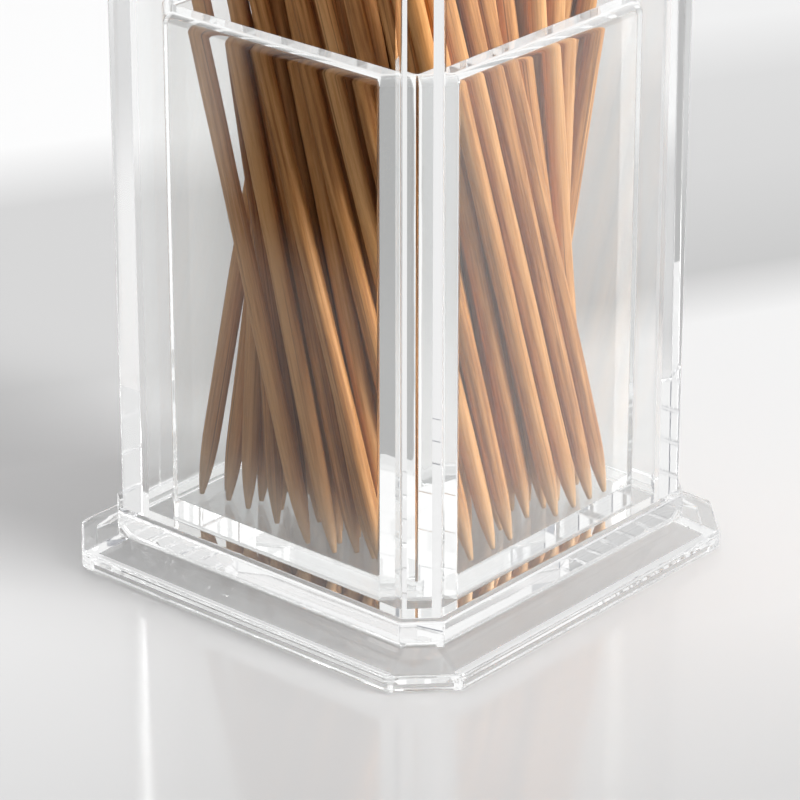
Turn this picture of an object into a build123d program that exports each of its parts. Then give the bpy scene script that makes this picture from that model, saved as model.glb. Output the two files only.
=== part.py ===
"""A clear square toothpick box: a stepped plinth, an inner cup full of toothpicks, and a hood that lifts off.

The origin is the middle of the underside, +Z is up, and the flat faces look along X and Y. Millimetres.
"""

import math
import os
import random

from build123d import *

# Hood: the tall outer cover
hood_width = 40.0
hood_wall = 3.0
hood_corner = 2.6
hood_inner_corner = 1.6
hood_headroom = 4.6
hood_roof = 3.0
hood_hip_rise = 3.6
hood_crown_width = 17.0
hood_edge_round = 0.4
hood_foot_round = 0.3

# Cup: the inner box that holds the toothpicks
cup_gap = 0.7
cup_wall = 2.6
cup_corner = 3.5
cup_inner_round = 0.2
cup_floor = 2.0
cup_depth = 49.0
cup_rim_round = 1.0
cup_rim_inner_round = 0.3
cup_floor_round = 0.15
cup_edge_round = 0.4

# Plinth: the stepped base that the cup is bonded into and the hood stands on
foot_overhang = 3.5
foot_edge = 1.8
foot_rise = 1.0
foot_corner_round = 0.9
foot_rim_round = 0.5
step_ledge = 0.5
step_height = 2.55
step_edge_round = 0.35
step_top_round = 0.25
cup_seat_depth = 1.0
cup_seat_clearance = 0.05
plinth_shell = 1.4
plinth_plate = 1.6
foot_ring = 1.8
recess_round = 0.6

# The film of air or cement where one piece rests on another
rest_gap = 0.02

# Knob: the cut-glass grip bonded to the hood's crown
knob_neck = 6.5
knob_neck_height = 2.0
knob_girdle = 13.0
knob_girdle_height = 1.4
knob_pavilion = 4.6
knob_crown = 3.4
knob_table = 8.0
knob_spigot = 3.0
knob_spigot_length = 2.0
knob_spigot_clearance = 0.05

# Toothpicks: round bamboo sticks with a point at each end, standing in a twisted bundle
pick_length = 65.0
pick_diameter = 1.8
pick_point_length = 7.0
pick_tip = 0.45
pick_gap = 0.06
bundle_corner = 2.0
spare_corner = 5.0
lone_gap = 0.35
single_picks = 44
inner_groups = 10

# The bundle's proportions: a level is 0 at the floor, 1 at the rim and head_level at the upper points
head_level = 1.325
lone_level = 0.57
bundle_turn = 1.05
bundle_turn_spread = 0.18
bundle_lean = 16.0
bundle_drift_limit = 0.687
bundle_ring_slack = 1.02
bundle_tries = 15
bundle_nudges = 7
bundle_shakes = 12
bundle_seed = 7


def corner_at(offset):
    """The corner cut of an outline that runs a given distance outside the hood's."""
    return hood_corner + offset * (2 - math.sqrt(2))


# Widths and levels that follow from the sizes above
hood_inside = hood_width - 2 * hood_wall
cup_width = hood_inside - 2 * cup_gap
cup_inside = cup_width - 2 * cup_wall
step_width = hood_width + 2 * step_ledge
foot_width = step_width + 2 * foot_overhang
shoulder_top = foot_edge + foot_rise
step_top = shoulder_top + step_height
hood_bottom = step_top + rest_gap
seat_level = step_top - cup_seat_depth
recess_width = foot_width - 2 * foot_ring
recess_corner = corner_at(step_ledge + foot_overhang - foot_ring)
recess_edge = foot_edge - plinth_shell
recess_step_width = step_width - 2 * plinth_shell
recess_step_corner = corner_at(step_ledge - plinth_shell)
recess_shoulder = shoulder_top - plinth_shell
recess_top = seat_level - plinth_plate
cup_bottom = seat_level + rest_gap
floor_top = cup_bottom + cup_floor
rim_top = floor_top + cup_depth
ceiling = floor_top + pick_length + hood_headroom
eaves = ceiling + hood_roof
crown_top = eaves + hood_hip_rise
neck_bottom = crown_top + rest_gap
neck_top = neck_bottom + knob_neck_height
girdle_bottom = neck_top + knob_pavilion
girdle_top = girdle_bottom + knob_girdle_height
knob_top = girdle_top + knob_crown
OCTAGON_TURN = 22.5


def cut_square(width, corner, edge_round=0):
    """Draws a square with straight-cut corners in the open sketch, its vertices rounded if asked."""
    half = width / 2
    flat = half - corner
    Polygon(
        (half, -flat),
        (half, flat),
        (flat, half),
        (-flat, half),
        (-half, flat),
        (-half, -flat),
        (-flat, -half),
        (flat, -half),
        align=None,
    )
    if edge_round:
        fillet(vertices(), edge_round)


# Plinth: foot slab, sloped shoulder and upright step in one moulding, with a shallow seat for the cup.
# It is hollow underneath like most mouldings, and stands on a ring
with BuildPart() as plinth:
    with BuildSketch():
        cut_square(foot_width, corner_at(step_ledge + foot_overhang), foot_corner_round)
    extrude(amount=foot_edge)
    with BuildSketch(Plane.XY.offset(foot_edge)):
        cut_square(foot_width, corner_at(step_ledge + foot_overhang), foot_corner_round)
    with BuildSketch(Plane.XY.offset(shoulder_top)):
        cut_square(step_width, corner_at(step_ledge), step_edge_round)
    loft(ruled=True)
    with BuildSketch(Plane.XY.offset(shoulder_top)):
        cut_square(step_width, corner_at(step_ledge), step_edge_round)
    extrude(amount=step_height)
    fillet(plinth.edges().group_by(Axis.Z)[0], foot_rim_round)
    shoulder_edges = plinth.edges().filter_by_position(Axis.Z, foot_edge - rest_gap, foot_edge + rest_gap)
    fillet(shoulder_edges, foot_rim_round)
    fillet(plinth.edges().group_by(Axis.Z)[-1], step_top_round)
    with BuildSketch(Plane.XY.offset(seat_level)):
        cut_square(cup_width + 2 * cup_seat_clearance, cup_corner)
    extrude(amount=cup_seat_depth, mode=Mode.SUBTRACT)
    with BuildSketch():
        cut_square(recess_width, recess_corner)
    extrude(amount=recess_edge, mode=Mode.SUBTRACT)
    with BuildSketch(Plane.XY.offset(recess_edge)):
        cut_square(recess_width, recess_corner)
    with BuildSketch(Plane.XY.offset(recess_shoulder)):
        cut_square(recess_step_width, recess_step_corner)
    loft(ruled=True, mode=Mode.SUBTRACT)
    with BuildSketch(Plane.XY.offset(recess_shoulder)):
        cut_square(recess_step_width, recess_step_corner)
    extrude(amount=recess_top - recess_shoulder, mode=Mode.SUBTRACT)
    ring_face, recess_face, seat_face, step_face = plinth.faces().filter_by(Axis.Z).sort_by(Axis.Z)
    fillet(recess_face.edges(), recess_round)

# Cup: five-sided moulding with a rounded rim
with BuildPart() as cup:
    with BuildSketch(Plane.XY.offset(cup_bottom)):
        cut_square(cup_width, cup_corner)
    extrude(amount=cup_floor + cup_depth)
    fillet(cup.edges().filter_by(Axis.Z), cup_edge_round)
    fillet(cup.edges().group_by(Axis.Z)[-1], cup_rim_round)
    with BuildSketch(Plane.XY.offset(floor_top)):
        RectangleRounded(cup_inside, cup_inside, cup_inner_round)
    extrude(amount=cup_depth, mode=Mode.SUBTRACT)
    underside, floor_face, rim_face = cup.faces().filter_by(Axis.Z).sort_by(Axis.Z)
    fillet(floor_face.edges(), cup_floor_round)
    underside, floor_face, rim_face = cup.faces().filter_by(Axis.Z).sort_by(Axis.Z)
    fillet(rim_face.inner_wires()[0].edges(), cup_rim_inner_round)

# Hood: tall cover, open below, with a hipped roof and a socket for the knob's spigot
with BuildPart() as hood:
    with BuildSketch(Plane.XY.offset(hood_bottom)):
        cut_square(hood_width, hood_corner, hood_edge_round)
    extrude(amount=eaves - hood_bottom)
    fillet(hood.edges().group_by(Axis.Z)[0], hood_foot_round)
    with BuildSketch(Plane.XY.offset(eaves)):
        cut_square(hood_width, hood_corner, hood_edge_round)
    with BuildSketch(Plane.XY.offset(crown_top)):
        cut_square(hood_crown_width, hood_corner, hood_edge_round)
    loft(ruled=True)
    with BuildSketch(Plane.XY.offset(hood_bottom)):
        cut_square(hood_inside, hood_inner_corner)
    extrude(amount=ceiling - hood_bottom, mode=Mode.SUBTRACT)
    with Locations((0, 0, crown_top)):
        Hole(
            radius=knob_spigot / 2 + knob_spigot_clearance,
            depth=knob_spigot_length + knob_spigot_clearance,
        )

# Knob: eight-sided cut grip on a short neck, with a spigot that drops into the hood
KNOB_SECTIONS = [
    (neck_bottom, knob_neck),
    (neck_top, knob_neck),
    (girdle_bottom, knob_girdle),
    (girdle_top, knob_girdle),
    (knob_top, knob_table),
]
with BuildPart() as knob:
    for (low, low_width), (high, high_width) in zip(KNOB_SECTIONS, KNOB_SECTIONS[1:]):
        with BuildSketch(Plane.XY.offset(low)):
            RegularPolygon(low_width / 2, 8, major_radius=False, rotation=OCTAGON_TURN)
        with BuildSketch(Plane.XY.offset(high)):
            RegularPolygon(high_width / 2, 8, major_radius=False, rotation=OCTAGON_TURN)
        loft(ruled=True)
    with BuildSketch(Plane.XY.offset(neck_bottom)):
        Circle(knob_spigot / 2)
    extrude(amount=-knob_spigot_length)

# Bundle: every stick is written as its foot on the floor and its drift, which is how far it has moved
# sideways at level 1. A level is bundle_rise high, so that the sticks keep inside both the cup and the hood
stick_margin = pick_diameter / 2 + pick_gap
stick_spacing = (pick_diameter + pick_gap) / math.cos(math.radians(bundle_lean))
ring_pitch = stick_spacing * bundle_ring_slack
try_step = pick_diameter / bundle_tries
nudge = pick_diameter / bundle_nudges
bundle_rise = max(cup_depth, pick_length / head_level)


def along_square(half, travel):
    """The point reached by walking round a square, clockwise seen from above, from its +X -Y corner."""
    side, step = divmod(travel % (8 * half), 2 * half)
    walk = step - half
    return [(-walk, -half), (-half, walk), (walk, half), (half, -walk)][int(side)]


def ring_stick(half, travel, turn):
    """A stick that stands on a square ring of the floor and meets the rim's level further round it."""
    x, y = along_square(half, travel)
    rim_x, rim_y = along_square(half, travel + turn * half)
    return (x, y, rim_x - x, rim_y - y)


def lone_stick():
    """The stick in the cup's -X +Y corner, which stands a little apart from the others higher up."""
    half = cup_inside / 2 - stick_margin
    rim_y = cup_inside - bundle_corner - stick_margin * math.sqrt(2) - half - pick_gap
    head_y = hood_inside / 2 - stick_margin - pick_gap
    drift = min(bundle_turn * half, (head_y - rim_y) / (head_level - 1))
    return (-half, rim_y - drift, 0.0, drift)


def inside(x, y, width, corner):
    """Whether a stick centred here clears the walls of a cut-corner well."""
    reach = width / 2 - stick_margin
    diagonal = width - corner - stick_margin * math.sqrt(2)
    return abs(x) <= reach and abs(y) <= reach and abs(x) + abs(y) <= diagonal


def leaves_spare_corner(stick):
    """Whether a stick keeps out of the cup's +X +Y corner, which is left free for more toothpicks."""
    x, y, drift_x, drift_y = stick
    levels = [0.0, head_level]
    if drift_x != drift_y:
        levels.append(min(max((y - x) / (drift_x - drift_y), 0.0), head_level))
    deepest = max(min(x + drift_x * level, y + drift_y * level) for level in levels)
    return deepest <= cup_inside / 2 - spare_corner - stick_margin


def corner_reach(stick, level):
    """How far a stick reaches towards the cup's -X +Y corner at a level."""
    x, y, drift_x, drift_y = stick
    return (y + drift_y * level - x - drift_x * level) / math.sqrt(2)


def leaves_lone_stick(stick, lone):
    """Whether a stick leaves a wedge of free space beside the lone one, from lone_level upwards."""
    close = stick_spacing / 2
    widening = (stick_spacing + lone_gap - close) / (1 - lone_level)
    for level in (lone_level, head_level):
        distance = close + widening * (level - lone_level)
        if corner_reach(stick, level) > corner_reach(lone, level) - distance:
            return False
    return True


def stands_apart(stick, other):
    """Whether two sticks keep their spacing at every height."""
    apart_x = stick[0] - other[0]
    apart_y = stick[1] - other[1]
    drift_x = stick[2] - other[2]
    drift_y = stick[3] - other[3]
    drift = drift_x**2 + drift_y**2
    nearest = 0.0
    if drift > 0:
        nearest = min(max(-(apart_x * drift_x + apart_y * drift_y) / drift, 0.0), head_level)
    return math.hypot(apart_x + drift_x * nearest, apart_y + drift_y * nearest) >= stick_spacing


def stands_clear(stick, others):
    """Whether a stick fits the cup and the hood, drifts within the limit and keeps off the other sticks."""
    x, y, drift_x, drift_y = stick
    leans_little = math.hypot(drift_x, drift_y) <= bundle_drift_limit * cup_inside
    foot_fits = inside(x, y, cup_inside, bundle_corner)
    rim_fits = inside(x + drift_x, y + drift_y, cup_inside, bundle_corner)
    head_x = x + drift_x * head_level
    head_y = y + drift_y * head_level
    head_fits = inside(head_x, head_y, hood_inside, hood_inner_corner)
    if not (leans_little and foot_fits and rim_fits and head_fits and leaves_spare_corner(stick)):
        return False
    return all(stands_apart(stick, other) for other in others)


def standing_bundle():
    """Sticks in square rings that lean round the cup together, then nudged to stand less evenly."""
    chance = random.Random(bundle_seed)
    lone = lone_stick()
    sticks = [lone, (0.0, 0.0, 0.0, 0.0)]
    half = cup_inside / 2 - stick_margin
    while half > ring_pitch / 2:
        start = chance.uniform(0, 8 * half)
        for attempt in range(int(8 * half / try_step)):
            turn = bundle_turn + chance.uniform(-bundle_turn_spread, bundle_turn_spread)
            stick = ring_stick(half, start + attempt * try_step, turn)
            if leaves_lone_stick(stick, lone) and stands_clear(stick, sticks):
                sticks.append(stick)
        half -= ring_pitch
    for _ in range(bundle_shakes):
        for index, (x, y, drift_x, drift_y) in enumerate(sticks[1:], 1):
            foot_x, foot_y, head_x, head_y = [chance.uniform(-nudge, nudge) for _ in range(4)]
            nudged = (
                x + foot_x,
                y + foot_y,
                drift_x + (head_x - foot_x) / head_level,
                drift_y + (head_y - foot_y) / head_level,
            )
            others = sticks[:index] + sticks[index + 1:]
            if leaves_lone_stick(nudged, lone) and stands_clear(nudged, others):
                sticks[index] = nudged
    return sticks


def stick_plane(stick):
    """The plane that a stick grows out of, square to its axis, with its tip's lowest edge on the floor."""
    x, y, drift_x, drift_y = stick
    axis = Vector(drift_x, drift_y, bundle_rise).normalized()
    lowest = pick_tip / 2 * math.hypot(axis.X, axis.Y)
    return Plane(origin=(x, y, floor_top + rest_gap + lowest), z_dir=axis)


def middle_distance(stick):
    """How far a stick stands from the bundle's axis halfway up the cup."""
    x, y, drift_x, drift_y = stick
    return math.hypot(x + drift_x / 2, y + drift_y / 2)


# One toothpick, turned about its own axis
with BuildPart() as pick:
    with BuildSketch(Plane.XZ):
        Polygon(
            (0, 0),
            (pick_tip / 2, 0),
            (pick_diameter / 2, pick_point_length),
            (pick_diameter / 2, pick_length - pick_point_length),
            (pick_tip / 2, pick_length),
            (0, pick_length),
            align=None,
        )
    revolve(axis=Axis.Z)

# The outer toothpicks are nodes of their own, and the hidden inner ones share a few
sticks = sorted(standing_bundle(), key=middle_distance, reverse=True)
outer_sticks = sticks[:round(single_picks)]
inner_sticks = sticks[len(outer_sticks):]
group_size = max(math.ceil(len(inner_sticks) / inner_groups), 1)
pick_nodes = [(f"toothpick_{number:02d}", [stick]) for number, stick in enumerate(outer_sticks, 1)]
for number, first in enumerate(range(0, len(inner_sticks), group_size), 1):
    pick_nodes.append((f"toothpicks_inner_{number:02d}", inner_sticks[first:first + group_size]))
print("toothpicks:", len(sticks))

os.makedirs("parts", exist_ok=True)
for piece, label in ((plinth, "plinth"), (cup, "inner_cup"), (hood, "hood"), (knob, "hood_knob")):
    piece.part.label = label
    export_step(piece.part, f"parts/{label}.step")
for label, standing in pick_nodes:
    with BuildPart() as node:
        with Locations(*[stick_plane(stick) for stick in standing]):
            add(pick.part)
    node.part.label = label
    export_step(node.part, f"parts/{label}.step")
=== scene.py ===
# %% [markdown]
# # A clear toothpick box
#
# The box is four clear mouldings and a cup full of bamboo sticks. Its solids come from the CAD frame, so
# this lesson gives them their finish: clear acrylic, bamboo, and the soft light that makes clear things
# readable.

# %% Load the frame
import math

import bpy
import numpy as np
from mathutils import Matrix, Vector


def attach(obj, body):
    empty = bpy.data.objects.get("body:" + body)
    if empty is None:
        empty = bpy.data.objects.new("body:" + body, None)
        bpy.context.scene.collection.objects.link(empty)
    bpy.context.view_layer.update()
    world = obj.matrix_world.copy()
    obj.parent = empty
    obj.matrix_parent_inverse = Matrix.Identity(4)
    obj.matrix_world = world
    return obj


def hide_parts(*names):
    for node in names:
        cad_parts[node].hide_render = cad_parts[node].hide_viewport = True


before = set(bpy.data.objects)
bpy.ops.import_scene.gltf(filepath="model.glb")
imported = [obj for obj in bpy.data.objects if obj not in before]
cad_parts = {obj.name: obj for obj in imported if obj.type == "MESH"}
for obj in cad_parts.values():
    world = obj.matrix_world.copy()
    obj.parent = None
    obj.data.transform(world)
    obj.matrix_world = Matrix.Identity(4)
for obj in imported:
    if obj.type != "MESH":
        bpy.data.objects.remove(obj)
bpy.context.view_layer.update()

# %% [markdown]
# ## The camera
#
# The photograph looks down on the front corner from about 25 degrees with a long lens. The place and the
# focal length were worked out from the hood's and the plinth's edges. A long lens keeps the hood's sides
# almost parallel.

# %% Camera
CAMERA_PLACE = (-0.27844, -0.24134, 0.18294)
CAMERA_TILT = 65.503
CAMERA_TURN = -49.08
LENS_MM = 192.85
SENSOR_MM = 36.0
CLIP_NEAR, CLIP_FAR = 0.01, 50.0

camera_data = bpy.data.cameras.new("photo_camera")
camera_data.lens = LENS_MM
camera_data.sensor_width = SENSOR_MM
camera_data.clip_start = CLIP_NEAR
camera_data.clip_end = CLIP_FAR
camera = bpy.data.objects.new("photo_camera", camera_data)
camera.location = CAMERA_PLACE
camera.rotation_euler = (math.radians(CAMERA_TILT), 0.0, math.radians(CAMERA_TURN))
bpy.context.scene.collection.objects.link(camera)
bpy.context.scene.camera = camera
bpy.context.scene.view_settings.view_transform = "Standard"
print("camera is", round(Vector(CAMERA_PLACE).length, 3), "m from the foot")

# %% [markdown]
# ## How far light is followed
#
# Blender stops following it after a few turns and paints what is left black, so thick clear walls need a
# longer count. What is still inside a wall on the last turn gets a painted glow from the acrylic, a mean
# grey that stands in for the light that would have come out, further down.

# %% Light bounces
TURNS_FOLLOWED = 16

cycles = bpy.context.scene.cycles
cycles.max_bounces = TURNS_FOLLOWED
cycles.glossy_bounces = TURNS_FOLLOWED
cycles.transmission_bounces = TURNS_FOLLOWED
cycles.transparent_max_bounces = TURNS_FOLLOWED
print("light is followed for", TURNS_FOLLOWED, "turns")

# %% [markdown]
# ## Small helpers for shader nodes
#
# Materials are built from nodes. Short functions keep that readable: they add a node and set its inputs,
# join an output to an input, step smoothly between two values, mix two colours, and fill a ramp of colours.

# %% Node helpers
# Socket numbers of a colour Mix node, because its socket names repeat.
MIX_FACTOR, MIX_FIRST, MIX_SECOND, MIX_RESULT = 0, 6, 7, 2


def grey(tone):
    """A grey colour with full alpha."""
    return (tone, tone, tone, 1.0)


def add_node(tree, kind, inputs=None, **settings):
    """Adds a node, sets its properties from the keywords and its unlinked sockets from inputs."""
    node = tree.nodes.new(kind)
    for name, value in settings.items():
        setattr(node, name, value)
    for name, value in (inputs or {}).items():
        node.inputs[name].default_value = value
    return node


def join(tree, source, output, target, entry):
    """Links one node's output socket to another's input socket. Sockets go by name or by number."""
    tree.links.new(source.outputs[output], target.inputs[entry])


def smooth_step(tree, start, end, low=0.0, high=1.0):
    """A node that goes smoothly from low to high while its input goes from start to end."""
    limits = {"From Min": start, "From Max": end, "To Min": low, "To Max": high}
    return add_node(tree, "ShaderNodeMapRange", limits, interpolation_type="SMOOTHSTEP")


def colour_mix(tree, first=None, second=None):
    """A node that mixes two colours by its factor. A colour that is left out is linked later."""
    node = add_node(tree, "ShaderNodeMix", data_type="RGBA")
    for socket, colour in ((MIX_FIRST, first), (MIX_SECOND, second)):
        if colour:
            node.inputs[socket].default_value = colour
    return node


def colour_ramp(tree, stops):
    """A colour ramp from a list of positions and colours."""
    node = add_node(tree, "ShaderNodeValToRGB")
    elements = node.color_ramp.elements
    for position, _ in stops[1:-1]:
        elements.new(position)
    for element, (position, colour) in zip(elements, stops):
        element.position = position
        element.color = colour
    return node


def new_material(name):
    """An empty node material and its output node."""
    material = bpy.data.materials.new(name)
    material.use_nodes = True
    material.node_tree.nodes.clear()
    output = add_node(material.node_tree, "ShaderNodeOutputMaterial")
    return material, output


print("node helpers are ready")

# %% [markdown]
# ## The floor
#
# Clear plastic has no colour of its own. It shows what is around it, bent at every edge, so the
# surroundings are part of the finish. The floor is pale and glossy like glazed china, with painted shade on
# it: a soft grey band crosses it behind the box, standing for the shade on the sloping rim of a plate,
# wider on the left than on the right, and it is paler beyond. The floor is also darker towards the front.
# Two ramps hold these painted tones, one for each side of the picture, over the distance behind the box.

# %% Floor
FLOOR_SIZE = 3.0
FLOOR_DROP = 0.00005

half = FLOOR_SIZE / 2
corners = [(-half, -half, 0), (half, -half, 0), (half, half, 0), (-half, half, 0)]
floor_mesh = bpy.data.meshes.new("floor")
floor_mesh.from_pydata(corners, [], [(0, 1, 2, 3)])
floor = bpy.data.objects.new("floor", floor_mesh)
floor.location.z = -FLOOR_DROP
bpy.context.scene.collection.objects.link(floor)
print("floor", FLOOR_SIZE, "m wide")

# %% Floor tones
# The tones run along BEHIND, which leans from the camera's view by BAND_SLANT, because the band is askew.
NEAREST, FARTHEST = -0.06, 0.14
LEFT_TO_RIGHT = (-0.025, 0.025)
BAND_SLANT = -0.41
IMAGE_RIGHT = (math.cos(math.radians(CAMERA_TURN)), math.sin(math.radians(CAMERA_TURN)), 0.0)
BEHIND = (
    IMAGE_RIGHT[0] * BAND_SLANT - IMAGE_RIGHT[1],
    IMAGE_RIGHT[1] * BAND_SLANT + IMAGE_RIGHT[0],
    0.0,
)
# Painted shade: the low stops at the start darken the front, and the dip further on is the grey band.
LEFT_SHADE_TONES = [
    (0.00, grey(0.60)),
    (0.16, grey(0.72)),
    (0.46, grey(0.92)),
    (0.56, grey(0.62)),
    (0.82, grey(0.62)),
    (0.92, grey(0.98)),
]
RIGHT_SHADE_TONES = [
    (0.00, grey(0.64)),
    (0.16, grey(0.81)),
    (0.50, grey(0.84)),
    (0.57, grey(0.50)),
    (0.72, grey(0.60)),
    (0.86, grey(0.64)),
    (0.97, grey(0.82)),
]

glaze_material, glaze_output = new_material("glazed_floor")
tree = glaze_material.node_tree
floor_place = add_node(tree, "ShaderNodeTexCoord")
across = add_node(tree, "ShaderNodeVectorMath", {1: IMAGE_RIGHT}, operation="DOT_PRODUCT")
behind = add_node(tree, "ShaderNodeVectorMath", {1: BEHIND}, operation="DOT_PRODUCT")
distance = add_node(tree, "ShaderNodeMapRange", {"From Min": NEAREST, "From Max": FARTHEST})
left_side = colour_ramp(tree, LEFT_SHADE_TONES)
right_side = colour_ramp(tree, RIGHT_SHADE_TONES)
side = smooth_step(tree, *LEFT_TO_RIGHT)
painted_shade_floor = colour_mix(tree)
join(tree, floor_place, "Object", across, 0)
join(tree, floor_place, "Object", behind, 0)
join(tree, across, "Value", side, "Value")
join(tree, behind, "Value", distance, "Value")
join(tree, distance, "Result", left_side, "Fac")
join(tree, distance, "Result", right_side, "Fac")
join(tree, side, "Result", painted_shade_floor, MIX_FACTOR)
join(tree, left_side, "Color", painted_shade_floor, MIX_FIRST)
join(tree, right_side, "Color", painted_shade_floor, MIX_SECOND)
print("floor has", len(LEFT_SHADE_TONES), "tones on the left and", len(RIGHT_SHADE_TONES), "on the right")

# %% [markdown]
# ## Painted cloths on the floor
#
# Outside the picture the faces of the hood mirror the floor as a pale veil over the sticks. A photographer
# lays cloths there, and this floor paints them as reflections: on the left a shaded one and a dark one
# beyond it, and on the right a grey one. They are painted reflections, seen only by light that the clear
# walls have bent or mirrored, and they darken the veil and draw dark lines in the acrylic. The camera sees
# the floor pale there. The two on the left end at a soft hem beside the box, so the floor behind it stays
# pale. The glaze loses its shine on the dark one.

# %% Light that sees the cloths
HEM_DIRECTION = (0.868, 1.0, 0.0)
HEM = (-0.002, -0.007)

light_path = add_node(tree, "ShaderNodeLightPath")
bent = add_node(tree, "ShaderNodeMath", operation="MAXIMUM")
floor_axes = add_node(tree, "ShaderNodeSeparateXYZ")
sideways = add_node(tree, "ShaderNodeVectorMath", {1: HEM_DIRECTION}, operation="DOT_PRODUCT")
hemmed = smooth_step(tree, *HEM)
bent_left = add_node(tree, "ShaderNodeMath", operation="MULTIPLY")
join(tree, light_path, "Is Glossy Ray", bent, 0)
join(tree, light_path, "Is Transmission Ray", bent, 1)
join(tree, floor_place, "Object", floor_axes, "Vector")
join(tree, floor_place, "Object", sideways, 0)
join(tree, sideways, "Value", hemmed, "Value")
join(tree, hemmed, "Result", bent_left, 0)
join(tree, bent, "Value", bent_left, 1)
print("the hem is", round(1000 * (HEM[0] - HEM[1]), 1), "mm soft")

# %% Floor cloths and glaze
GREY_REFLECTED_CLOTH = grey(0.62)
GREY_STARTS = (-0.030, -0.060)
SHADE_REFLECTED_CLOTH = (0.22, 0.21, 0.20, 1.0)
SHADE_STARTS = (-0.028, -0.046)
DARK_REFLECTED_CLOTH = (0.016, 0.011, 0.008, 1.0)
DARK_STARTS = (-0.072, -0.090)
GLAZE_SHINE = 0.9
GLAZE_ROUGHNESS = 0.12


def lay_reflected_cloth(ground, axis, starts, colour, light):
    """Mixes a cloth colour over the ground's colour beyond a line, only for the rays that light selects: a
    painted reflection. Returns the mix and its mask.
    """
    beyond = smooth_step(tree, *starts)
    laid = add_node(tree, "ShaderNodeMath", operation="MULTIPLY")
    mixed = colour_mix(tree, None, colour)
    join(tree, floor_axes, axis, beyond, "Value")
    join(tree, beyond, "Result", laid, 0)
    join(tree, light, "Value", laid, 1)
    join(tree, laid, "Value", mixed, MIX_FACTOR)
    join(tree, ground, MIX_RESULT, mixed, MIX_FIRST)
    return mixed, laid


# Painted reflections: these cloths colour the floor only for bent and mirrored light, never for the camera.
right_ground, _ = lay_reflected_cloth(painted_shade_floor, "Y", GREY_STARTS, GREY_REFLECTED_CLOTH, bent)
left_ground, _ = lay_reflected_cloth(right_ground, "X", SHADE_STARTS, SHADE_REFLECTED_CLOTH, bent_left)
ground, dark_laid = lay_reflected_cloth(left_ground, "X", DARK_STARTS, DARK_REFLECTED_CLOTH, bent_left)
shine = add_node(tree, "ShaderNodeMapRange", {"To Min": GLAZE_SHINE, "To Max": 0.0})
glaze = add_node(tree, "ShaderNodeBsdfPrincipled", {"Roughness": GLAZE_ROUGHNESS})
join(tree, ground, MIX_RESULT, glaze, "Base Color")
join(tree, dark_laid, "Value", shine, "Value")
join(tree, shine, "Result", glaze, "Specular IOR Level")
join(tree, glaze, "BSDF", glaze_output, "Surface")
floor_mesh.materials.append(glaze_material)
print("floor glaze has", len(tree.nodes), "nodes")

# %% [markdown]
# ## The room
#
# The sky stands for a bright room. Clear walls pick up its tones at their edges: white behind the box,
# lighter on the right than on the left, with four narrow dark bars like window frames that draw thin dark
# lines along the edges. The camera itself sees a plain pale wall, and the room lights the object only
# softly.

# %% Room tones
ROOM_FRAME = (0.050, 0.062, 0.110, 1.0)
ROOM_TONES = [
    (0.00, grey(0.62)),
    (0.10, grey(0.70)),
    (0.15, ROOM_FRAME),
    (0.18, ROOM_FRAME),
    (0.21, grey(0.62)),
    (0.34, grey(0.66)),
    (0.37, grey(0.80)),
    (0.38, ROOM_FRAME),
    (0.41, ROOM_FRAME),
    (0.42, grey(0.90)),
    (0.55, grey(0.98)),
    (0.60, grey(0.95)),
    (0.61, ROOM_FRAME),
    (0.64, ROOM_FRAME),
    (0.65, grey(0.90)),
    (0.72, grey(0.80)),
    (0.79, grey(0.76)),
    (0.81, ROOM_FRAME),
    (0.83, ROOM_FRAME),
    (0.87, grey(0.70)),
    (1.00, grey(0.62)),
]

world = bpy.data.worlds.new("bright_room")
bpy.context.scene.world = world
world.use_nodes = True
tree = world.node_tree
tree.nodes.clear()
way = add_node(tree, "ShaderNodeTexCoord")
turn = add_node(tree, "ShaderNodeMapping", {"Rotation": (0.0, 0.0, math.radians(-CAMERA_TURN))})
way_axes = add_node(tree, "ShaderNodeSeparateXYZ")
angle = add_node(tree, "ShaderNodeMath", operation="ARCTAN2")
fraction = add_node(tree, "ShaderNodeMapRange", {"From Min": -math.pi, "From Max": math.pi})
walls = colour_ramp(tree, ROOM_TONES)
join(tree, way, "Generated", turn, "Vector")
join(tree, turn, "Vector", way_axes, "Vector")
join(tree, way_axes, "X", angle, 0)
join(tree, way_axes, "Y", angle, 1)
join(tree, angle, "Value", fraction, "Value")
join(tree, fraction, "Result", walls, "Fac")
print("room has", len(ROOM_TONES), "tones")

# %% Room light
ROOM_LIGHT = 0.34
ROOM_PLAIN = grey(0.90)
ROOM_CEILING = (0.86, 0.86, 0.87, 1.0)
CEILING_STARTS = (0.45, 0.80)

rise = smooth_step(tree, *CEILING_STARTS)
ceiling = colour_mix(tree, None, ROOM_CEILING)
plain = colour_mix(tree, None, ROOM_PLAIN)
light_path = add_node(tree, "ShaderNodeLightPath")
seen = add_node(tree, "ShaderNodeMath", operation="MAXIMUM")
seen_or_bent = add_node(tree, "ShaderNodeMath", operation="MAXIMUM")
strength = add_node(tree, "ShaderNodeMapRange", {"To Min": ROOM_LIGHT, "To Max": 1.0})
background = add_node(tree, "ShaderNodeBackground")
room_output = add_node(tree, "ShaderNodeOutputWorld")
join(tree, way_axes, "Z", rise, "Value")
join(tree, rise, "Result", ceiling, MIX_FACTOR)
join(tree, walls, "Color", ceiling, MIX_FIRST)
join(tree, light_path, "Is Camera Ray", plain, MIX_FACTOR)
join(tree, ceiling, MIX_RESULT, plain, MIX_FIRST)
join(tree, plain, MIX_RESULT, background, "Color")
join(tree, light_path, "Is Camera Ray", seen, 0)
join(tree, light_path, "Is Glossy Ray", seen, 1)
join(tree, seen, "Value", seen_or_bent, 0)
join(tree, light_path, "Is Transmission Ray", seen_or_bent, 1)
join(tree, seen_or_bent, "Value", strength, "Value")
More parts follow.
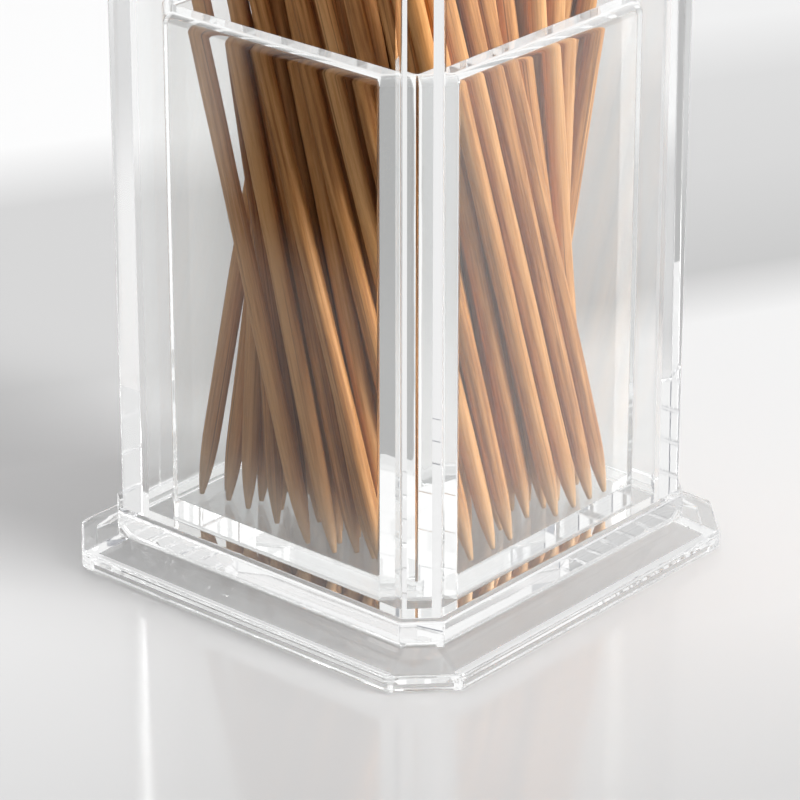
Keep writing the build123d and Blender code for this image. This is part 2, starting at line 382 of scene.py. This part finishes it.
join(tree, strength, "Result", background, "Strength")
join(tree, background, "Background", room_output, "Surface")
print("room lights at", ROOM_LIGHT)

# %% [markdown]
# ## The lamps
#
# Two square lamps give soft shadows. The strong one stands to the right of the camera, so the right face
# is brighter than the left one, and a weak one hangs above.

# %% Lamps
LAMP_AIM = Vector((0.0, 0.0, 0.04))


def soft_lamp(name, place, width, watts):
    """A square lamp that faces the middle of the box."""
    data = bpy.data.lights.new(name, "AREA")
    data.size = width
    data.energy = watts
    lamp = bpy.data.objects.new(name, data)
    lamp.location = place
    aim = LAMP_AIM - Vector(place)
    lamp.rotation_euler = aim.to_track_quat("-Z", "Y").to_euler()
    bpy.context.scene.collection.objects.link(lamp)
    print(name, "gives", watts, "watts")


soft_lamp("key_lamp", place=(0.75, -2.10, 1.10), width=1.00, watts=88.0)
soft_lamp("top_lamp", place=(0.30, 0.60, 2.40), width=1.60, watts=14.0)

# %% [markdown]
# ## Clear acrylic
#
# Acrylic bends light a little less than window glass: its index is 1.49. A moulding is never quite even,
# so a slow ripple tilts the surface by a hair, and faint handling marks change the gloss. All four clear
# pieces share these marks, so they are a node group.

# %% Shared ripple group
RIPPLE_DETAIL = 1.0
HAZE_SCALE = 900.0
HAZE_DETAIL = 3.0
HAZE_PATCHES = (0.45, 0.75)
HAZE_ROUGHNESS = 0.008

ripple_group = bpy.data.node_groups.new("moulded_ripple", "ShaderNodeTree")
ripple_group.interface.new_socket("Scale", in_out="INPUT", socket_type="NodeSocketFloat")
ripple_group.interface.new_socket("Height", in_out="OUTPUT", socket_type="NodeSocketFloat")
ripple_group.interface.new_socket("Haze", in_out="OUTPUT", socket_type="NodeSocketFloat")
ripple_in = add_node(ripple_group, "NodeGroupInput")
ripple_out = add_node(ripple_group, "NodeGroupOutput")
ripple_place = add_node(ripple_group, "ShaderNodeTexCoord")
ripple_noise = add_node(ripple_group, "ShaderNodeTexNoise", {"Detail": RIPPLE_DETAIL})
haze_noise = add_node(ripple_group, "ShaderNodeTexNoise", {"Scale": HAZE_SCALE, "Detail": HAZE_DETAIL})
haze_range = smooth_step(ripple_group, *HAZE_PATCHES, high=HAZE_ROUGHNESS)
join(ripple_group, ripple_place, "Object", ripple_noise, "Vector")
join(ripple_group, ripple_in, "Scale", ripple_noise, "Scale")
join(ripple_group, ripple_place, "Object", haze_noise, "Vector")
join(ripple_group, haze_noise, "Fac", haze_range, "Value")
join(ripple_group, ripple_noise, "Fac", ripple_out, "Height")
join(ripple_group, haze_range, "Result", ripple_out, "Haze")
print("ripple group has", len(ripple_group.nodes), "nodes")

# %% [markdown]
# ## Light through the walls
#
# The lamps have to shine through the acrylic onto the sticks. Following that light through every bend is
# slow and grainy, so the walls let it straight through for the lamps and for light that the sticks scatter.
# Light that is thrown about inside a wall to its last turn would end up black. In a real wall it leaks out
# at every scratch, so on that turn alone the acrylic glows with a painted light: a mean grey of its own
# that stands in for the light that would have come out.

# %% Acrylic material
ACRYLIC_INDEX = 1.49
ACRYLIC_TINT = (0.985, 0.99, 0.988, 1.0)
BEFORE_LAST_TURN = TURNS_FOLLOWED - 0.5
NO_LIGHT = grey(0.0)


def acrylic(name, ripple_scale, ripple_depth, passed_light, trapped_light):
    """Clear acrylic: a see-through Principled shader with a slow ripple, a faint haze and a painted glow on
    the last turn.
    """
    material, output = new_material(name)
    tree = material.node_tree
    clear = add_node(tree, "ShaderNodeBsdfPrincipled", {"Base Color": ACRYLIC_TINT, "IOR": ACRYLIC_INDEX})
    clear.inputs["Transmission Weight"].default_value = 1.0
    clear.inputs["Emission Strength"].default_value = 1.0
    ripple = add_node(tree, "ShaderNodeGroup", node_tree=ripple_group)
    ripple.inputs["Scale"].default_value = ripple_scale
    bump = add_node(tree, "ShaderNodeBump", {"Strength": 1.0, "Distance": ripple_depth})
    light_path = add_node(tree, "ShaderNodeLightPath")
    scattered = add_node(tree, "ShaderNodeMath", operation="MAXIMUM")
    trapped = add_node(tree, "ShaderNodeMath", {1: BEFORE_LAST_TURN}, operation="GREATER_THAN")
    # Painted light: on the last turn the acrylic glows with the grey of trapped_light as its emission.
    painted_glow = colour_mix(tree, NO_LIGHT, grey(trapped_light))
    passing = add_node(tree, "ShaderNodeBsdfTransparent", {"Color": grey(passed_light)})
    blend = add_node(tree, "ShaderNodeMixShader")
    join(tree, ripple, "Height", bump, "Height")
    join(tree, bump, "Normal", clear, "Normal")
    join(tree, ripple, "Haze", clear, "Roughness")
    join(tree, light_path, "Is Shadow Ray", scattered, 0)
    join(tree, light_path, "Is Diffuse Ray", scattered, 1)
    join(tree, light_path, "Ray Depth", trapped, 0)
    join(tree, trapped, "Value", painted_glow, MIX_FACTOR)
    join(tree, painted_glow, MIX_RESULT, clear, "Emission Color")
    join(tree, scattered, "Value", blend, 0)
    join(tree, clear, "BSDF", blend, 1)
    join(tree, passing, "BSDF", blend, 2)
    join(tree, blend, "Shader", output, "Surface")
    print(name, "has", len(tree.nodes), "nodes")
    return material


# %% Dress the clear pieces
# Each row gives the material's name, the ripple's scale, its depth in metres, the share of lamp light that
# passes, and the tone of the painted glow that trapped light gives.
CLEAR_NODES = {
    "plinth": acrylic("plinth_acrylic", 120.0, 0.000006, 0.84, 0.50),
    "inner_cup": acrylic("cup_acrylic", 120.0, 0.000005, 0.94, 0.55),
    "hood": acrylic("hood_acrylic", 90.0, 0.000003, 0.94, 0.45),
    "hood_knob": acrylic("knob_acrylic", 120.0, 0.000003, 0.94, 0.50),
}
for node_name, material in CLEAR_NODES.items():
    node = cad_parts[node_name]
    node.data.materials.clear()
    node.data.materials.append(material)
    print(node_name, "is clear acrylic,", len(node.data.polygons), "triangles")

# %% [markdown]
# ## Bamboo sticks
#
# Each toothpick is a thin round stick, split from bamboo and sharpened at both ends. The CAD solids are
# plain, so each gets a surface of its own: a radius that changes along the stick, turned round its axis.
# The axis is found from the solid itself: the direction in which its points spread most.

# %% Find every stick's axis
PICK_NODES = sorted(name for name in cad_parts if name.startswith("toothpick"))


def node_points(name):
    """All the vertices of a CAD node as an array."""
    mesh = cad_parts[name].data
    points = np.empty(len(mesh.vertices) * 3, np.float32)
    mesh.vertices.foreach_get("co", points)
    return points.reshape(-1, 3).astype(float)


SINGLE_POINTS = len(node_points(PICK_NODES[0]))


def stick_ends(name):
    """The foot and the head of each stick in a node: the ends of the main axis of its points."""
    solids = node_points(name).reshape(-1, SINGLE_POINTS, 3)
    centre = solids.mean(axis=1, keepdims=True)
    _, _, axes = np.linalg.svd(solids - centre, full_matrices=False)
    axis = axes[:, :1, :]
    axis = axis * np.sign(axis[:, :, 2:])
    along = ((solids - centre) * axis).sum(axis=2)
    foot = centre[:, 0] + axis[:, 0] * along.min(axis=1)[:, None]
    head = centre[:, 0] + axis[:, 0] * along.max(axis=1)[:, None]
    return foot, head


ends = {name: stick_ends(name) for name in PICK_NODES}
lengths = np.concatenate([np.linalg.norm(head - foot, axis=1) for foot, head in ends.values()])
shortest, longest = lengths.min(), lengths.max()
print(len(lengths), "sticks,", round(1000 * shortest, 2), "to", round(1000 * longest, 2), "mm long")

# %% Stick surface
STICK_RADIUS = 0.0009
TIP_RADIUS = 0.00022
POINT_LENGTH = 0.0070
POINT_CURVE = 2.2
POINT_RINGS = 7
RING_SPREAD = 1.3
BODY_RINGS = 8
WAVE_DEPTH = 0.00003
WAVE_RATE = 260.0
WAVE_SHIFT = 7.0
SIDES = 14


def stick_surface(foot, head, seed):
    """A tube round the axis: p(s, a) = foot + s * axis + r(s) * (cos a * side + sin a * other).

    With e as the distance from the nearer end in point lengths, at most 1, the radius is
    r = tip + (body - tip) * rise - depth * rise * (1 + sin(rate * s + shift * seed)), where
    rise = 1 - (1 - e) ** curve. The slow wave keeps the stick from looking machined.
    """
    length = np.linalg.norm(head - foot)
    axis = (head - foot) / length
    side = np.cross(axis, (0.0, 1.0, 0.0))
    side = side / np.linalg.norm(side)
    other = np.cross(axis, side)
    near_tip = np.linspace(0.0, 1.0, POINT_RINGS) ** RING_SPREAD * POINT_LENGTH
    middle = np.linspace(POINT_LENGTH, length - POINT_LENGTH, BODY_RINGS)[1:-1]
    along = np.concatenate([near_tip, middle, (length - near_tip)[::-1]])
    from_end = np.minimum(along, length - along) / POINT_LENGTH
    rise = 1.0 - (1.0 - np.clip(from_end, 0.0, 1.0)) ** POINT_CURVE
    radius = TIP_RADIUS + (STICK_RADIUS - TIP_RADIUS) * rise
    radius = radius - WAVE_DEPTH * rise * (1.0 + np.sin(along * WAVE_RATE + seed * WAVE_SHIFT))
    angle = np.linspace(0.0, 2.0 * np.pi, SIDES, endpoint=False)
    ring = np.cos(angle)[:, None] * side + np.sin(angle)[:, None] * other
    points = foot + along[:, None, None] * axis + radius[:, None, None] * ring[None]
    return points, along


print("a stick has", SIDES, "sides and", 2 * POINT_RINGS + BODY_RINGS - 2, "rings")

# %% [markdown]
# ## One mesh for each node
#
# A node holds one stick or several. Rings of points become quads, and a fan closes each end. The mesh also
# carries a map that runs along the stick and a number for each stick, which the bamboo finish reads.


# %% Stick mesh
def stick_faces(rings, start):
    """Quads between neighbouring rings, and a fan of triangles to the middle of each end."""
    index = start + np.arange(rings * SIDES).reshape(rings, SIDES)
    right = np.roll(index, -1, axis=1)
    quads = np.stack([index[:-1], right[:-1], right[1:], index[1:]], axis=-1).reshape(-1, 4)
    low_middle = np.full(SIDES, start + rings * SIDES)
    high_middle = low_middle + 1
    low_fan = np.stack([low_middle, right[0], index[0]], axis=-1)
    high_fan = np.stack([high_middle, index[-1], right[-1]], axis=-1)
    return quads.tolist() + low_fan.tolist() + high_fan.tolist()


def stick_uvs(along):
    """Turns round the stick and metres along it, for every corner of the faces above."""
    turns = np.arange(SIDES + 1) / SIDES
    left, low = np.meshgrid(turns[:-1], along[:-1])
    right, high = np.meshgrid(turns[1:], along[1:])
    corners = [np.stack(pair, -1) for pair in ((left, low), (right, low), (right, high), (left, high))]
    low_fan = np.tile([[0.0, along[0]]], (SIDES * 3, 1))
    high_fan = np.tile([[0.0, along[-1]]], (SIDES * 3, 1))
    return np.concatenate([np.stack(corners, axis=2).reshape(-1, 2), low_fan, high_fan])


def sticks_mesh(name, sticks, seeds):
    """One mesh of several sticks, with a UV map along the stick and a number per stick for its tint."""
    points, faces, uvs, tints = [], [], [], []
    start = 0
    for (foot, head), seed in zip(sticks, seeds):
        surface, along = stick_surface(foot, head, seed)
        stick_points = np.concatenate([surface.reshape(-1, 3), foot[None], head[None]])
        points.append(stick_points)
        faces += stick_faces(len(along), start)
        uvs.append(stick_uvs(along))
        tints.append(np.full(len(stick_points), seed))
        start += len(stick_points)
    mesh = bpy.data.meshes.new(name)
    mesh.from_pydata(np.concatenate(points).tolist(), [], faces)
    layer = mesh.uv_layers.new(name="along_stick")
    layer.data.foreach_set("uv", np.concatenate(uvs).astype(np.float32).ravel())
    tint = mesh.attributes.new("stick_tint", "FLOAT", "POINT")
    tint.data.foreach_set("value", np.concatenate(tints).astype(np.float32))
    mesh.polygons.foreach_set("use_smooth", np.ones(len(mesh.polygons), dtype=bool))
    mesh.update()
    return mesh


print("each node's sticks go into one mesh")

# %% [markdown]
# ## Bamboo finish
#
# Bamboo is straight fibres: fine light and dark streaks that run the whole length, with a few darker
# vascular threads. Each stick has its own tone, from straw to light brown, and the sharpened points show
# paler cut fibres.

# %% Bamboo fibres
FIBRE_STRETCH = (9.0, 60.0, 1.0)
FIBRE_NOISE = {"Scale": 1.6, "Detail": 4.0, "Roughness": 0.6}
THREAD_STRETCH = (24.0, 22.0, 1.0)
THREAD_NOISE = {"Scale": 1.0, "Detail": 2.0}
STICK_SHIFT = (37.0, 11.0, 53.0)

bamboo, bamboo_output = new_material("bamboo")
tree = bamboo.node_tree
uv = add_node(tree, "ShaderNodeUVMap", uv_map="along_stick")
number = add_node(tree, "ShaderNodeAttribute", attribute_name="stick_tint")
shift = add_node(tree, "ShaderNodeVectorMath", {1: STICK_SHIFT}, operation="MULTIPLY")
own_place = add_node(tree, "ShaderNodeVectorMath", operation="ADD")
fibre_map = add_node(tree, "ShaderNodeMapping", {"Scale": FIBRE_STRETCH})
thread_map = add_node(tree, "ShaderNodeMapping", {"Scale": THREAD_STRETCH})
fibres = add_node(tree, "ShaderNodeTexNoise", FIBRE_NOISE)
threads = add_node(tree, "ShaderNodeTexNoise", THREAD_NOISE)
join(tree, number, "Vector", shift, 0)
join(tree, uv, "UV", own_place, 0)
join(tree, shift, "Vector", own_place, 1)
join(tree, own_place, "Vector", fibre_map, "Vector")
join(tree, own_place, "Vector", thread_map, "Vector")
join(tree, fibre_map, "Vector", fibres, "Vector")
join(tree, thread_map, "Vector", threads, "Vector")
print("fibres are stretched", FIBRE_STRETCH[:2])

# %% Bamboo tone and threads
BAMBOO_TONES = [
    (0.30, (0.36, 0.140, 0.036, 1.0)),
    (0.50, (0.62, 0.285, 0.090, 1.0)),
    (0.72, (0.80, 0.42, 0.165, 1.0)),
]
OWN_TONE_LOW, OWN_TONE_HIGH = -0.10, 0.16
BAMBOO_THREAD = (0.17, 0.060, 0.016, 1.0)
THREAD_LIMITS = (0.60, 0.72)
THREAD_SHARE = 0.7

own_tone = add_node(tree, "ShaderNodeMapRange", {"To Min": OWN_TONE_LOW, "To Max": OWN_TONE_HIGH})
sum_tone = add_node(tree, "ShaderNodeMath", operation="ADD")
tone = colour_ramp(tree, BAMBOO_TONES)
thread_mask = smooth_step(tree, *THREAD_LIMITS, high=THREAD_SHARE)
threaded = colour_mix(tree, None, BAMBOO_THREAD)
join(tree, number, "Fac", own_tone, "Value")
join(tree, fibres, "Fac", sum_tone, 0)
join(tree, own_tone, "Result", sum_tone, 1)
join(tree, sum_tone, "Value", tone, "Fac")
join(tree, threads, "Fac", thread_mask, "Value")
join(tree, thread_mask, "Result", threaded, MIX_FACTOR)
join(tree, tone, "Color", threaded, MIX_FIRST)
print("bamboo has", len(BAMBOO_TONES), "tones and a darker thread")

# %% Pale points
BAMBOO_TIP = (0.80, 0.52, 0.28, 1.0)
TIP_SHARE = 0.7

uv_axes = add_node(tree, "ShaderNodeSeparateXYZ")
low_point = smooth_step(tree, POINT_LENGTH, 0.0)
high_point = smooth_step(tree, longest - POINT_LENGTH, longest)
point = add_node(tree, "ShaderNodeMath", operation="MAXIMUM")
point_mask = add_node(tree, "ShaderNodeMath", {1: TIP_SHARE}, operation="MULTIPLY")
pointed = colour_mix(tree, None, BAMBOO_TIP)
join(tree, uv, "UV", uv_axes, "Vector")
join(tree, uv_axes, "Y", low_point, "Value")
join(tree, uv_axes, "Y", high_point, "Value")
join(tree, low_point, "Result", point, 0)
join(tree, high_point, "Result", point, 1)
join(tree, point, "Value", point_mask, 0)
join(tree, point_mask, "Value", pointed, MIX_FACTOR)
join(tree, threaded, MIX_RESULT, pointed, MIX_FIRST)
print("points pale over", 1000 * POINT_LENGTH, "mm")

# %% Bamboo surface
FIBRE_RELIEF = {"Strength": 0.5, "Distance": 0.00005}
BAMBOO_GLOSS = {"Roughness": 0.55, "Specular IOR Level": 0.3}

bump = add_node(tree, "ShaderNodeBump", FIBRE_RELIEF)
wood = add_node(tree, "ShaderNodeBsdfPrincipled", BAMBOO_GLOSS)
join(tree, pointed, MIX_RESULT, wood, "Base Color")
join(tree, fibres, "Fac", bump, "Height")
join(tree, bump, "Normal", wood, "Normal")
join(tree, wood, "BSDF", bamboo_output, "Surface")
print("bamboo has", len(tree.nodes), "nodes")

# %% [markdown]
# ## Bamboo for every node
#
# Each mesh takes the place of its CAD node and rides on the base, as the node did. A seeded draw gives each
# stick its own number.

# %% Dress every stick
TINT_SEED = 5

chance = np.random.default_rng(TINT_SEED)
for name in PICK_NODES:
    foot, head = ends[name]
    seeds = chance.random(len(foot))
    mesh = sticks_mesh("bamboo_" + name, list(zip(foot, head)), seeds)
    mesh.materials.append(bamboo)
    piece = bpy.data.objects.new("bamboo_" + name, mesh)
    bpy.context.scene.collection.objects.link(piece)
    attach(piece, "base")
    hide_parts(name)
print(len(PICK_NODES), "pieces of bamboo")
